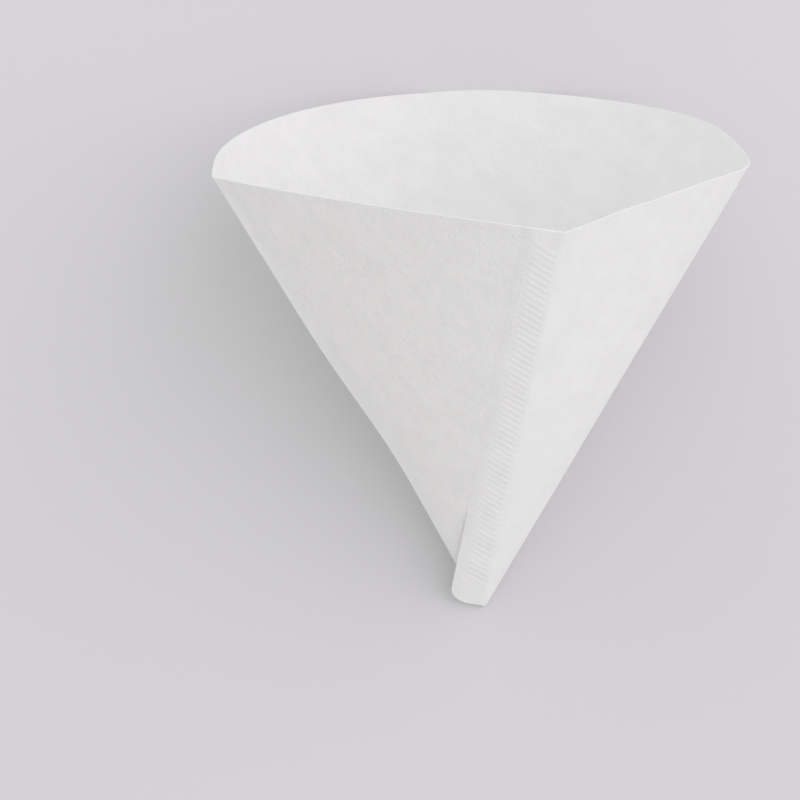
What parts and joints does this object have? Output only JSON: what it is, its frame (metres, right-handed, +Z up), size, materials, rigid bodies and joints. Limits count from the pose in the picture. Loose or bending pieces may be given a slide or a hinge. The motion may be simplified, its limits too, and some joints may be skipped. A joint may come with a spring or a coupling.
{
  "type": "paper coffee filter",
  "caption": "Cone-shaped paper coffee filter, opened out and lying on its side: one folded sheet with a crimped seam flap, closed at the tip and open at the mouth.",
  "frame": {"origin": "middle of the part's length and width, on the surface that it lies on", "axes": "+Z up, +Y from the tip towards the mouth along the wall that it lies on, seam and flap on top"},
  "size_m": [0.1188, 0.1244, 0.1031],
  "materials": {
    "paper": "matte white filter paper with a fine crepe and soft cloudy mottling"
  },
  "bodies": {
    "root": {"coffee_filter": "paper"}
  },
  "joints": []
}
